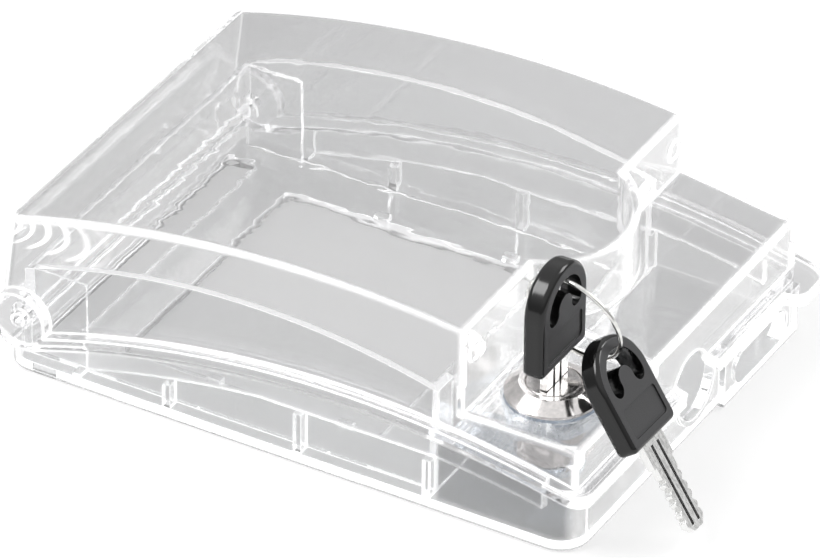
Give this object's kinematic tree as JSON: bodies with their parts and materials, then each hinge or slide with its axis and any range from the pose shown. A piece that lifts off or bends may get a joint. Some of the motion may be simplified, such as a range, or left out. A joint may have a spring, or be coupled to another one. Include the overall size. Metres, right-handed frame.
{
  "type": "lockable outlet cover",
  "caption": "Clear locking cover for a wall outlet: domed lid hinged on a base frame with an outlet window, quarter-turn cam lock, and black-headed keys on a wire ring.",
  "frame": {"origin": "centre of the outlet window, on the face of the base frame that lies on the wall", "axes": "+X from the hinge end to the lock end, +Y from the long side the lock is near to the far long side, +Z away from the wall"},
  "size_m": [0.1915, 0.121, 0.0675],
  "materials": {
    "clear_plastic": "clear polycarbonate, polished mould faces",
    "chrome": "bright nickel-chrome plating on zinc",
    "zinc": "bright zinc-plated steel",
    "brass": "plain stamped brass",
    "spring_steel": "bare spring steel",
    "nickel": "nickel-plated key blade",
    "black_plastic": "black moulded plastic, glossy rim and satin face"
  },
  "bodies": {
    "base": {"base_frame": "clear_plastic", "hinge_pin_front": "clear_plastic", "hinge_pin_back": "clear_plastic"},
    "lid": {"lid_cover": "clear_plastic", "lock_housing": "chrome", "lock_washer": "zinc", "lock_nut": "zinc"},
    "lock_plug": {"lock_plug": "chrome", "plug_wafers": "brass", "wafer_springs": "spring_steel", "plug_clip": "spring_steel", "cam_stop_plate": "zinc", "lock_cam": "zinc", "cam_washer": "zinc", "cam_screw": "zinc"},
    "key_1": {"key_blade_1": "nickel", "key_head_1": "black_plastic"},
    "ring": {"key_ring": "spring_steel"},
    "key_2": {"key_blade_2": "nickel", "key_head_2": "black_plastic"}
  },
  "joints": [
    {"name": "lid_hinge", "type": "hinge", "parent": "base", "child": "lid", "pos_m": [-0.0575, 0, 0.0145], "axis": [0, -1, 0], "range_deg": [0, 95]},
    {"name": "plug_turn", "type": "hinge", "parent": "lid", "child": "lock_plug", "pos_m": [0.0838, -0.0372, 0.02], "axis": [0, 0, -1], "range_deg": [0, 90]},
    {"name": "key_1_slide", "type": "slide", "parent": "lock_plug", "child": "key_1", "axis": [0, 0, 1], "range_m": [0, 0.03]},
    {"name": "ring_slip", "type": "hinge", "parent": "key_1", "child": "ring", "pos_m": [0.08709, -0.03333, 0.05036], "axis": [0.11, 0.9537, 0.2799], "range_deg": [-23, 0]},
    {"name": "key_2_swing", "type": "hinge", "parent": "ring", "child": "key_2", "pos_m": [0.09805, -0.0323, 0.04256], "axis": [0.5731, -0.291, 0.7661], "range_deg": [-8, 8]}
  ],
  "couplings": [
    {"joint": "ring_slip", "follows": "plug_turn", "ratio": -0.25}
  ]
}
